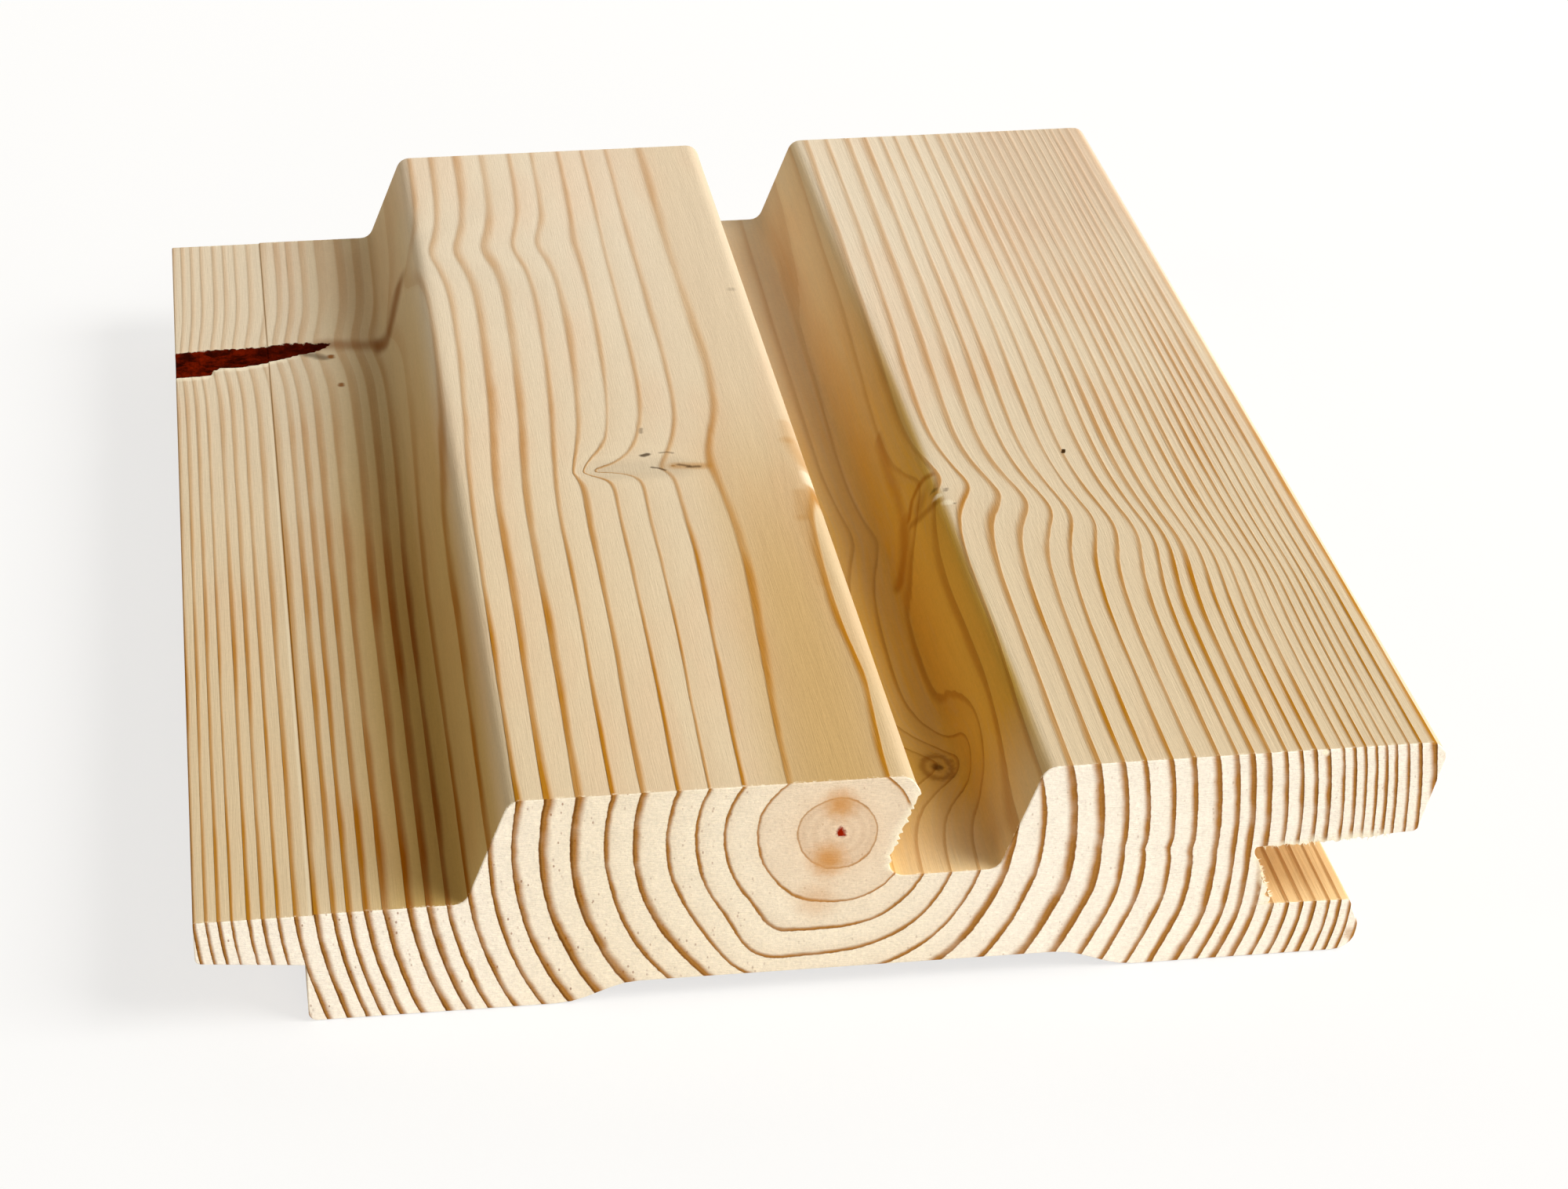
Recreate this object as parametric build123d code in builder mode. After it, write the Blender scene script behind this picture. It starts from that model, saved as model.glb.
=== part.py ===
"""Softwood cladding board with two raised lands on its face, a tongue and a grooved edge.

The section lies in the XZ plane and runs along Y with the grain. The origin is on the plane of the
two bearing strips, below the centre of the board: +X points from the tongue to the grooved edge,
+Y away from the photographed end, +Z up through the face.
"""
import os
from math import radians, tan

from build123d import *

# The sample, in millimetres
board_length = 214.0
board_thickness = 27.0

# Face, from the tongue to the grooved edge
face_recess_depth = 13.0
flange_width = 31.0
land_width = 48.15
face_groove_width = 14.0
land_bevel_angle = 22.5
upper_lip_angle = 17.0

# Tongue, with the rebate below it
tongue_length = 12.6
tongue_tip_thickness = 5.5
tongue_root_thickness = 6.6

# Slot in the other edge, and the two lips beside it
upper_lip_reach = 22.3
lower_lip_reach = 13.0
lower_lip_angle = 20.0
slot_root_floor = 6.9
slot_mouth_floor = 6.7
slot_root_roof = 14.6
slot_mouth_roof = 15.4

# Back relief between the two bearing strips
tongue_strip_width = 30.4
relief_mouth_width = 65.0
relief_depth = 2.3
relief_slope_angle = 20.0

# Rounded corners
arris_radius = 2.0
recess_radius = 2.0
relief_radius = 10.0
slot_root_radius = 0.5
upper_lip_radius = 0.8
lower_lip_radius = 3.0
lower_lip_arris_radius = 0.4
tongue_arris_radius = 0.7
back_arris_radius = 1.0


def lean(height, angle):
    """Sideways run of a flank that leans this many degrees from upright over a height."""
    return height * tan(radians(angle))


def nose_cut(radius, angle):
    """How far the rounding of a sharp undercut corner draws its outermost point back."""
    return radius / tan(radians((90 - angle) / 2)) - radius


# Places across the section, measured from the tip of the tongue
bevel_run = lean(face_recess_depth, land_bevel_angle)
land_1_left = flange_width + bevel_run
land_1_right = land_1_left + land_width
land_2_left = land_1_right + face_groove_width
land_2_right = land_2_left + land_width
board_width = land_2_right - nose_cut(arris_radius, upper_lip_angle)
slot_root = board_width - upper_lip_reach
upper_lip_foot = land_2_right - lean(board_thickness - slot_mouth_roof, upper_lip_angle)
lower_lip_foot = slot_root + lower_lip_reach + nose_cut(lower_lip_radius, lower_lip_angle)
lower_lip_top = lower_lip_foot - lean(slot_mouth_floor, lower_lip_angle)
relief_left = tongue_length + tongue_strip_width
relief_right = relief_left + relief_mouth_width
relief_run = lean(relief_depth, 90 - relief_slope_angle)

# Heights above the bearing strips
recess_height = board_thickness - face_recess_depth
tongue_tip_height = recess_height - tongue_tip_thickness
tongue_root_height = recess_height - tongue_root_thickness

# Corners of the section in order round it, each with its rounding
corners = [
    ((0, tongue_tip_height), tongue_arris_radius),
    ((tongue_length, tongue_root_height), 0),
    ((tongue_length, 0), back_arris_radius),
    ((relief_left, 0), relief_radius),
    ((relief_left + relief_run, relief_depth), relief_radius),
    ((relief_right - relief_run, relief_depth), relief_radius),
    ((relief_right, 0), relief_radius),
    ((lower_lip_foot, 0), lower_lip_radius),
    ((lower_lip_top, slot_mouth_floor), lower_lip_arris_radius),
    ((slot_root, slot_root_floor), slot_root_radius),
    ((slot_root, slot_root_roof), slot_root_radius),
    ((upper_lip_foot, slot_mouth_roof), upper_lip_radius),
    ((land_2_right, board_thickness), arris_radius),
    ((land_2_left, board_thickness), arris_radius),
    ((land_2_left - bevel_run, recess_height), recess_radius),
    ((land_1_right - bevel_run, recess_height), recess_radius),
    ((land_1_right, board_thickness), arris_radius),
    ((land_1_left, board_thickness), arris_radius),
    ((flange_width, recess_height), recess_radius),
    ((0, recess_height), 0),
]

section_plane = Plane(origin=(-board_width / 2, 0, 0), x_dir=(1, 0, 0), z_dir=(0, -1, 0))

with BuildPart() as cladding_board:
    with BuildSketch(section_plane) as section:
        with BuildLine():
            FilletPolyline(
                [place for place, rounding in corners],
                radius=[rounding for place, rounding in corners],
                close=True,
            )
        make_face()
    extrude(amount=board_length / 2, both=True)

cladding_board.part.label = "cladding_board"

os.makedirs("parts", exist_ok=True)
export_step(cladding_board.part, "parts/cladding_board.step")
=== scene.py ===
"""Look of the softwood cladding board: the grained board, the fibres torn at its sawn ends, and the stage.

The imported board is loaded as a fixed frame. The wood's own coordinates are in millimetres: x across the
board from the tip of the tongue, y along the grain from the photographed end, z up from the bearing strips
of the back. They become the frame's metres only when a mesh is made.
"""
import math
from types import SimpleNamespace

import bmesh
import bpy
import numpy as np
from mathutils.geometry import delaunay_2d_cdt
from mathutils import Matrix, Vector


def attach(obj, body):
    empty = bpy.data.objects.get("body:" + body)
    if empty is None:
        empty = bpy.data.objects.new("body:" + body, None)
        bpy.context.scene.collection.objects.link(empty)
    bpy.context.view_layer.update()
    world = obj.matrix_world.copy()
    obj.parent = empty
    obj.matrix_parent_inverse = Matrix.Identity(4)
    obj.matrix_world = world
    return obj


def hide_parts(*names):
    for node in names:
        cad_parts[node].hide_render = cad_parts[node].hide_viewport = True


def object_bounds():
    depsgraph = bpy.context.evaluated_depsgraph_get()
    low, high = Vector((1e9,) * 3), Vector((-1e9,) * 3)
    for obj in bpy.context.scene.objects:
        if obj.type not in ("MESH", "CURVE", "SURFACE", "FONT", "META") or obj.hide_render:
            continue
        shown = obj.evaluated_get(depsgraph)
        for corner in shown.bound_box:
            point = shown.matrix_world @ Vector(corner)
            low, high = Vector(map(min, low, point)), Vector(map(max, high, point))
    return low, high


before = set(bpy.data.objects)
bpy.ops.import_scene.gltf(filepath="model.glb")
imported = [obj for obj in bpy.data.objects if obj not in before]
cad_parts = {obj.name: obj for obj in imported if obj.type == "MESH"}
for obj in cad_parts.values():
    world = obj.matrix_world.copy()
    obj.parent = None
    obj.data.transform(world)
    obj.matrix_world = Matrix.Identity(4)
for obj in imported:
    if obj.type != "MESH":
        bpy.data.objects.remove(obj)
CAD_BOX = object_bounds()

bl_info = {
    "name": "Cladding board",
    "version": (1, 0, 0),
    "blender": (4, 5, 0),
    "location": "View3D > Sidebar > Cladding",
    "description": "Softwood cladding board with growth rings, knots and torn end fibres, on a pale stage",
    "category": "Add Mesh",
}

MM = 0.001
NODE = "cladding_board"
BODY = "root"
BOARD_LOW = [side / MM for side in CAD_BOX[0]]
BOARD_HIGH = [side / MM for side in CAD_BOX[1]]
BOARD_SPAN = BOARD_HIGH[1] - BOARD_LOW[1]
IMAGE_WIDTH = 2000

# Growth rings: radius of each ring's latewood from the pith, towards the tongue and towards the slot
RADII_TONGUE_SIDE = [
    0, 5.2, 9.8, 13.6, 16.9, 20.2, 24.0, 27.3, 31.1, 34.7, 37.9, 40.6, 43.4, 46.0, 48.1, 50.3,
    53.2, 55.3, 57.3, 58.9, 61.0, 63.3, 65.3, 67.0, 68.6, 70.6, 72.0, 73.4, 74.8, 76.4, 78.5, 80.5,
]
RADII_SLOT_SIDE = [
    0, 4.2, 8.6, 11.6, 14.6, 17.8, 20.6, 23.9, 27.4, 30.6, 33.6, 36.1, 39.2, 41.7, 44.6, 46.8,
    48.6, 50.5, 52.6, 54.4, 56.1, 57.6, 59.4, 60.7, 62.0, 63.3, 64.5, 65.6, 67.1, 68.5, 70.3, 71.9,
]
# Thickness of each ring's latewood
LATEWOOD = [
    0.1, 0.2, 0.3, 0.35, 0.35, 0.4, 0.7, 0.45, 0.9, 0.8, 0.65, 0.5, 0.55, 0.55, 0.75, 0.6,
    0.65, 0.6, 0.5, 0.45, 0.5, 0.5, 0.35, 0.45, 0.3, 0.3, 0.38, 0.3, 0.35, 0.38, 0.65, 0.45,
]
# The pith, which wanders along the board
PITH = (74.6, 20.3)
PITH_STATIONS = [0, 57, 85, 114, 142, 171, 214]
PITH_ACROSS = [0, 0.8, 0.9, 3.1, 4.2, 4.6, 5.4]
PITH_UP = [0, -0.9, -1.0, -0.8, -0.3, 0, 0.3]
# How much further the innermost rings move across than the pith does
INNER_STATIONS = [0, 45, 62, 82, 91, 98, 106, 116, 142, 214]
INNER_ACROSS = [0, 0.4, 0.8, 1.0, 0.9, 1.2, 1.7, 1.4, 0.6, 0.2]
# Knots: place along the board, direction from the pith in degrees, lean along the board per mm of radius
# about a radius, radii at which its bend of the rings starts, is full, begins to fade and is gone, reach
# of the bend, its widths before, behind and beside the knot, bluntness, how much blunter the bend grows
# per mm further out, and how pointed it is
KNOTS = [
    (90.0, 160, 0.0, 20, 8, 26, 21.8, 26.2, 7.6, 1.6, 5.0, 4.0, 0.02, 0.0, 1.0),
    (78.6, 12, -0.9, 29, 4, 12, 29, 75, 5.9, 10.0, 9.0, 14.0, 0.10, 0.02, 1.0),
    (26.5, 338, 0.0, 17, 2, 10, 25, 35, 8.0, 9.0, 8.0, 6.0, 0.0, 0.0, 1.5),
    (172.5, 172, -0.12, 40, 18, 26, 59, 90, 2.2, 9.0, 9.0, 34.0, 0.15, 0.0, 1.4),
]
# Flaws of the planed faces: face, places along the flaw, half width, softness of its edge, tint and
# strength. Places are x and y on the level faces, y and z on the slopes.
MARKS = [
    ("top", [(57.0, 90.2), (65.0, 90.0)], 0.8, 4.0, "check", 0.14),
    ("top", [(61.9, 94.3), (62.5, 94.6)], 0.22, 0.5, "check", 0.85),
    ("top", [(64.2, 95.0), (65.1, 95.1), (65.9, 94.7)], 0.06, 0.3, "check", 0.50),
    ("top", [(62.6, 90.4), (63.5, 90.0), (64.3, 89.2)], 0.06, 0.3, "check", 0.70),
    ("top", [(65.5, 90.4)], 0.12, 0.35, "check", 0.60),
    ("top", [(65.8, 90.4), (69.6, 90.0)], 0.15, 1.5, "late", 0.55),
    ("top", [(66.3, 90.7), (67.6, 90.2)], 0.06, 0.5, "check", 0.60),
    ("top", [(67.5, 89.9), (68.9, 89.9)], 0.08, 0.45, "check", 0.65),
    ("top", [(62.6, 103.2), (62.4, 101.8)], 0.10, 0.35, "check", 0.45),
    ("top", [(82.2, 103.0), (81.9, 97.0)], 0.05, 1.6, "late", 0.25),
    ("top", [(81.9, 97.0), (83.0, 89.5)], 0.05, 1.8, "late", 0.36),
    # Painted highlight of a small dent in the first land's arris by the groove, which the mesh doesn't have
    ("top", [(83.0, 83.0), (82.9, 86.2)], 0.20, 1.3, "torn", 0.50),
    ("top", [(81.0, 80.0), (80.3, 72.0)], 0.05, 1.6, "late", 0.32),
    ("top", [(80.3, 72.0), (80.2, 52.0)], 0.05, 1.5, "late", 0.22),
    ("top", [(98.8, 76.8)], 0.25, 0.70, "torn", 0.60),
    ("top", [(99.7, 74.2)], 0.35, 0.80, "torn", 0.45),
    ("top", [(98.7, 79.0)], 0.15, 0.60, "check", 0.50),
    ("top", [(100.0, 77.7), (100.2, 78.4)], 0.08, 0.40, "check", 0.50),
    ("top", [(100.5, 73.7)], 0.06, 0.35, "check", 0.60),
    ("top", [(117.7, 88.0), (117.9, 88.8)], 0.20, 0.12, "check", 1.00),
    ("top", [(81.1, 152.0)], 0.20, 0.80, "check", 0.25),
    ("slope 2", [(109.1, 21.0), (98.6, 20.4), (91.3, 20.5), (85.5, 19.9)], 0.08, 1.6, "amber_late", 0.40),
    ("slope 2", [(83.4, 26.9), (84.8, 24.6), (84.5, 22.6), (82.5, 21.0)], 0.08, 1.0, "amber_late", 0.65),
    ("slope 2", [(75.4, 26.3), (78.4, 23.1), (80.7, 20.9)], 0.08, 1.0, "knot", 0.45),
    ("slope 2", [(80.8, 23.8)], 0.50, 2.4, "knot", 0.35),
    ("slope 2", [(83.6, 19.8), (78.9, 18.3), (74.8, 15.2)], 0.20, 2.2, "amber_late", 0.55),
    ("flange", [(22.5, 170.4), (26.5, 169.6), (31.5, 169.0)], 0.10, 3.4, "knot", 0.55),
    ("flange", [(19.4, 166.9), (20.6, 166.4), (21.9, 165.2)], 0.20, 1.3, "check", 0.60),
    ("flange", [(22.9, 165.3), (22.9, 165.9)], 0.18, 0.6, "knot", 0.90),
    ("flange", [(23.9, 154.4), (23.9, 155.1)], 0.14, 0.55, "knot", 0.85),
    ("slope 1", [(168.0, 14.2), (171.0, 17.2), (175.5, 20.4)], 0.20, 3.6, "knot", 0.70),
]
# Stains round the pith: place in x and z, reach and strength
PITH_STAINS = [((73.1, 16.8), 3.4, 1.0), ((74.5, 23.9), 3.0, 0.95), ((71.6, 11.5), 3.8, 0.4)]
# Zones of the board's surface, each with a material of its own
ZONES = ("plain", "top", "flange", "groove", "sawn")
# Knot cut across in the floor of the face groove: its middle and its half sizes across and along
EYE = (90.3, 25.8, 2.7, 4.4)

# Bark pocket in the flange: corners of its upper edge and of its stepped lower edge, its tip, its depth
POCKET_UPPER = ([0, 6, 12, 17, 23.4], [170.4, 171.2, 171.1, 171.8, 171.2])
POCKET_LOWER = (
    [0, 5.2, 5.8, 9.4, 12.8, 16.4, 17.8, 20.4, 21.7, 23.4],
    [160.9, 161.1, 163.9, 163.6, 164.6, 166.0, 166.9, 167.7, 168.9, 171.0],
)
POCKET_TIP = 23.6
POCKET_DEPTH = 0.85
# Groups of torn fibres: first and last place in x and z, way, number, shortest, longest and half thickness
FIBRES = [
    ((83.4, 25.4), (79.7, 16.0), (0.92, -0.30), 130, 0.15, 0.6, 0.05),
    ((80.0, 16.4), (79.4, 14.6), (0.95, -0.10), 60, 0.2, 0.9, 0.07),
    ((123.9, 12.9), (125.9, 7.5), (1.0, 0.10), 110, 0.15, 0.7, 0.10),
    ((124.6, 14.6), (140.0, 15.3), (0.25, -0.95), 170, 0.2, 0.7, 0.11),
]
# Points along and round each fibre, and the seeds of the fibres and of the torn edges
STRAND_STATIONS = 7
STRAND_SIDES = 5
FIBRE_SEED = 146
TEAR_SEED = 27
# How deep into the board the saw tore, and which faces count as sawn
TEAR_REACH = 0.6
SAWN_DEPTH = 0.2
# Fineness of the board's mesh: rows along it, turn of an arc's piece, spacing on the sawn ends, the
# places on the back and the second land where the spacing changes, and the angle of a sharp edge
ROW_COUNT = 164
ARC_STEP = math.radians(17)
END_SPACING = 0.8
BACK_SPLIT = 120
LAND_SPLIT = 121
SHARP = math.radians(38)
# Line beside the tongue that its cutter left: the foot and the top of the step, and its painted edge, a
# dark line with a pale painted highlight beside it
STEP_FOOT = 13.62
STEP_TOP = 13.78
STEP_LINE = 13.3
# Depth of the bump of the wood and of the fibres, in metres
WOOD_BUMP = 0.00012
FIBRE_BUMP = 0.00005
# The floor's half width and its gap below the board, in metres, its lines, and how white it is seen
FLOOR_REACH = 3.0
FLOOR_GAP = 0.0001
FLOOR_LINES = 7
FLOOR_SEEN = 0.72
# Lamps: way from the board's middle, distance and size in metres, and tint. Their powers are settings.
LAMPS = {
    "key": ((0.75, -0.28, 0.64), 3.0, (2.0, 1.5), (1.0, 0.99, 0.96)),
    "front": ((0.05, -0.99, 0.12), 3.0, (2.0, 1.0), (1.0, 0.97, 0.92)),
    "fill": ((-0.8, -0.2, 0.56), 3.0, (1.2, 1.2), (1.0, 0.82, 0.52)),
    "side": ((0.95, -0.12, 0.26), 3.0, (1.6, 0.7), (1.0, 0.97, 0.9)),
    "rim": ((0.15, 0.85, 0.45), 0.9, (1.2, 0.6), (1.0, 1.0, 1.0)),
}
# Height that the lamps face, in metres, and the colours of the room as a lamp and as it is seen
LAMP_AIM = 0.014
ROOM_TINT = (1, 0.84, 0.52, 1)
WHITE = (1, 1, 1, 1)


def linear(red, green, blue):
    """A colour given as display values from 0 to 255, as the linear values that Blender works with."""
    share = np.array([red, green, blue]) / 255
    return tuple(np.where(share <= 0.04045, share / 12.92, ((share + 0.055) / 1.055) ** 2.4).tolist())


def length(name, description, millimetres):
    """A length property, stored in metres."""
    return bpy.props.FloatProperty(
        name=name, description=description, default=millimetres * MM, min=0.0, unit="LENGTH", precision=5
    )


def angle(name, description, degrees):
    """An angle property, stored in radians."""
    return bpy.props.FloatProperty(
        name=name, description=description, default=math.radians(degrees), unit="ROTATION"
    )


def colour(name, description, red, green, blue):
    """A colour property, given by its display values."""
    return bpy.props.FloatVectorProperty(
        name=name, description=description, default=linear(red, green, blue), min=0.0, max=1.0,
        size=3, subtype="COLOR",
    )


def strength(name, description, value):
    """A number that can't be negative, such as a lamp's power."""
    return bpy.props.FloatProperty(name=name, description=description, default=value, min=0.0)


class BoardSection(bpy.types.PropertyGroup):
    """Sizes of the board's section."""

    recess: length("Face recess", "How far the flange and groove floor lie below the lands", 13.0)
    flange: length("Flange width", "Flat flange from the tongue's tip to the first land's slope", 31.0)
    land: length("Land width", "Width of each raised land between its sharp corners", 48.15)
    groove: length("Face groove width", "Gap between the two lands at their tops", 14.0)
    bevel: angle("Land slope", "Lean of the lands' slopes from upright", 22.5)
    lip_bevel: angle("Upper lip slope", "Lean of the upper lip's edge from upright", 17.0)
    tongue: length("Tongue length", "Reach of the tongue past the rebate", 12.6)
    tongue_tip: length("Tongue tip", "Thickness of the tongue at its tip", 5.5)
    tongue_root: length("Tongue root", "Thickness of the tongue at its root", 6.6)
    tongue_step: length("Tongue step", "How much lower the cutter left the tongue's top", 0.14)
    upper_lip: length("Upper lip reach", "Reach of the upper lip past the slot's root", 22.3)
    lower_lip: length("Lower lip reach", "Reach of the lower lip past the slot's root", 13.0)
    lower_bevel: angle("Lower lip slope", "Lean of the lower lip's edge from upright", 20.0)
    slot_floor: length("Slot floor", "Height of the slot's floor at its root", 6.9)
    slot_floor_mouth: length("Slot floor at the mouth", "Height of the lower lip's top at its edge", 6.7)
    slot_roof: length("Slot roof", "Height of the slot's roof at its root", 14.6)
    slot_roof_mouth: length("Slot roof at the mouth", "Height of the upper lip's underside", 15.4)
    strip: length("Bearing strip", "Width of the bearing strip on the tongue's side", 30.4)
    relief: length("Relief width", "Width of the shallow relief in the back", 65.0)
    relief_depth: length("Relief depth", "Depth of the shallow relief in the back", 2.3)
    relief_slope: angle("Relief slope", "Rise of the relief's flanks from level", 20.0)
    arris: length("Arris radius", "Rounding of the lands' arrises", 2.0)
    hollow: length("Hollow radius", "Rounding at the feet of the slopes", 2.0)
    relief_round: length("Relief radius", "Rounding of the relief's flanks", 10.0)
    slot_round: length("Slot radius", "Rounding at the slot's root", 0.5)
    upper_round: length("Upper lip radius", "Rounding of the upper lip's lower edge", 0.8)
    lower_round: length("Lower lip radius", "Rounding of the lower lip's nose", 3.0)
    lower_arris: length("Lower lip arris", "Rounding of the lower lip's upper edge", 0.4)
    tongue_arris: length("Tongue arris", "Rounding of the tongue's lower edge", 0.7)
    tongue_top: length("Tongue top arris", "Rounding of the tongue's upper edge", 0.25)
    back_arris: length("Back arris", "Rounding at the foot of the rebate", 1.0)
    saw_bevel: length("Sawn edge", "Break of the sharp edge round the sawn ends", 0.12)


class WoodColours(bpy.types.PropertyGroup):
    """Colours of the wood and its flaws, and of the painted light and shade on it."""

    early: colour("Earlywood", "Planed earlywood at the photographed end", 223, 204, 173)
    # Painted sheen: the earlywood turns paler towards the far end
    early_far_sheen: colour("Far earlywood", "Planed earlywood towards the far end", 226, 212, 190)
    blush: colour("Blush", "Pink tint of patches of the planed wood", 255, 244, 240)
    late: colour("Latewood", "Planed latewood lines", 178, 121, 32)
    heart: colour("Heartwood", "Planed wood close to the pith", 201, 167, 112)
    # Painted shade: this tint darkens and warms the flange beside the first land's slope, and that slope,
    # where the land's shadow falls
    painted_shade: colour("Flange tint", "Warm tint of the flange and of the first land's slope", 236, 222, 176)
    # Partly a real resin stain and partly painted light: the groove's wood is made lighter and more orange,
    # standing in for light bounced inside the shaded groove
    amber: colour("Amber", "Resin-soaked wood of the face groove", 229, 187, 88)
    # Also draws the latewood lines in the painted shade by the foot of the first land's slope
    amber_late: colour("Amber latewood", "Latewood lines in the resin-soaked wood", 164, 98, 6)
    far_edge: colour("Far edge", "Browner wood beside the upper lip at the far end", 204, 174, 146)
    # Painted light: the wood inside the slot is paler, standing in for light that the lips' shade keeps out
    painted_slot_tint: colour("Slot wood", "Fresh wood inside the slot", 245, 214, 162)
    end_early: colour("End earlywood", "Earlywood on the sawn ends", 252, 243, 230)
    end_tan: colour("End tan", "Browner earlywood in the middle of the sawn ends", 243, 231, 210)
    end_late: colour("End latewood", "Latewood on the sawn ends", 168, 116, 56)
    end_edge: colour("End ring edge", "Darkest outer edge of the latewood on the sawn ends", 102, 62, 20)
    pith: colour("Pith", "Dark star of the pith", 146, 30, 2)
    pith_tint: colour("Pith tint", "Reddish stains round the pith", 208, 152, 92)
    bark: colour("Bark", "Dark bark caught in the flange", 46, 8, 2)
    bark_red: colour("Red bark", "Red inner bark caught in the flange", 112, 24, 2)
    knot: colour("Knot", "Brown wood in the knots", 140, 80, 12)
    check: colour("Check", "Dark cracks in the knots", 60, 40, 18)
    # This pale colour also paints highlights: the strip beside the tongue's step and the dent in the first
    # land's arris by the groove
    torn: colour("Torn fibres", "Pale fibres torn by the saw", 255, 246, 222)


class StudioSettings(bpy.types.PropertyGroup):
    """Camera, lamps and floor."""

    camera_place: bpy.props.FloatVectorProperty(
        name="Camera place", description="Where the camera stands", size=3, subtype="TRANSLATION",
        unit="LENGTH", default=(-0.06521, -0.54266, 0.26327),
    )
    camera_turn: bpy.props.FloatVectorProperty(
        name="Camera turn", description="Which way the camera looks", size=3, subtype="EULER",
        unit="ROTATION", default=tuple(math.radians(a) for a in (64.248, -0.068, -7.825)),
    )
    view_length: bpy.props.FloatProperty(
        name="View length", description="Focal length in pixels of the whole image",
        default=5561.5, min=1.0,
    )
    key: strength("Key lamp", "Power of the lamp on the slotted side, in watts", 99.5)
    front: strength("Front lamp", "Power of the wide lamp before the sawn end, in watts", 32.5)
    fill: strength("Fill lamp", "Power of the warm lamp on the tongue's side, in watts", 14.0)
    rim: strength("Back lamp", "Power of the lamp behind the board, in watts", 3.2)
    side: strength("Side lamp", "Power of the low lamp that reaches into the slot, in watts", 27.0)
    ambient: strength("Ambient", "Brightness of the room all round", 0.10)
    floor: colour("Floor", "Colour of the floor", 245, 245, 245)


def mm(group, name):
    """A group's length in millimetres."""
    return getattr(group, name) / MM


def bump(a, width):
    """A rounded hump: e to the power of minus the square of a over the width."""
    return np.exp(-((a / width) ** 2))


def eased(a, low, high):
    """An S-shaped rise from 0 at low to 1 at high."""
    t = np.clip((a - low) / (high - low), 0, 1)
    return t * t * (3 - 2 * t)


def turn(a, b):
    """The difference of two directions in degrees, from -180 to 180."""
    return (a - b + 180) % 360 - 180


def softened(y, stations, values, reach=12):
    """A line through stations, averaged over a short reach so that it has no corners."""
    offsets = np.linspace(-reach, reach, 5)
    return sum(np.interp(y + offset, stations, values) for offset in offsets) / len(offsets)


def knot_bend(radius, direction, y):
    """How far the knots push the rings out. Each adds a hump that falls off by e to the power of minus
    its distance from the knot's axis, measured in the knot's own widths."""
    total = 0
    for knot in KNOTS:
        at, way, lean, middle, start, full, fade, gone, reach, *shape = knot
        before, behind, beside, blunt, more, power = shape
        along = y - (at + lean * (radius - middle))
        along = along / np.where(along < 0, before, behind)
        across = np.radians(turn(direction, way)) * radius / beside
        rounder = blunt + more * np.maximum(radius - middle, 0)
        far = np.sqrt(along ** 2 + across ** 2 + rounder) - np.sqrt(rounder) + math.sqrt(blunt)
        share = eased(radius, start, full) * (1 - eased(radius, fade, gone))
        total = total + reach * share * np.exp(-(far ** power))
    return total


def ring_number(x, y, z):
    """The number of growth rings from the pith to a point, and the width of the ring there. It is the
    distance from the pith's wandering line, less the knots' bends, read from the measured radii."""
    dx = x - PITH[0]
    dz = z - PITH[1]
    near = np.hypot(dx, dz)
    fade = np.where(dx < 0, 1 - eased(near, 18, 62), 1 - eased(near, 22, 74))
    shift = 1.4 * (y / BOARD_SPAN) * bump(dx - 30, 22) + 0.9 * bump(y - 40, 18) * bump(dx - 21.5, 5)
    shift = shift + softened(y, INNER_STATIONS, INNER_ACROSS, 4) * (1 - eased(near, 9, 18))
    across = dx - softened(y, PITH_STATIONS, PITH_ACROSS) * fade - shift
    up = dz - softened(y, PITH_STATIONS, PITH_UP) * fade
    radius = np.hypot(across, up)
    direction = np.degrees(np.arctan2(up, across)) % 360
    radius = np.maximum(radius - knot_bend(radius, direction, y), 0)
    notch = 0.3 * bump(turn(direction, 352.5), 1.1) * bump(radius - 38, 6)
    radius = radius + notch
    outer = eased(radius, 16, 30)
    swell = 1 + 0.12 * bump(turn(direction, 238), 14) * bump(radius - 17, 6)
    swell = swell - 0.05 * bump(turn(direction, 120), 28)
    swell = swell - 0.03 * bump(turn(direction, 335), 22) * (1 - outer)
    swell = swell + 0.013 * bump(turn(direction, 343), 7) * outer
    radius = radius / swell
    side = (1 - np.cos(np.radians(direction))) / 2
    count = np.arange(len(LATEWOOD))
    number = side * np.interp(radius, RADII_TONGUE_SIDE, count)
    number = number + (1 - side) * np.interp(radius, RADII_SLOT_SIDE, count)
    widths = side * np.interp(number, count[1:], np.diff(RADII_TONGUE_SIDE))
    widths = widths + (1 - side) * np.interp(number, count[1:], np.diff(RADII_SLOT_SIDE))
    return number, widths


def pocket_depth(x, y):
    """How far a point of the flange lies inside the bark pocket, in millimetres. The pocket's edges are
    two lines across the flange, the lower one with a step, that meet at its tip."""
    upper = np.interp(x, *POCKET_UPPER)
    lower = np.interp(x, *POCKET_LOWER)
    return np.minimum(np.minimum(upper - y, y - lower), POCKET_TIP - x)


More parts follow.
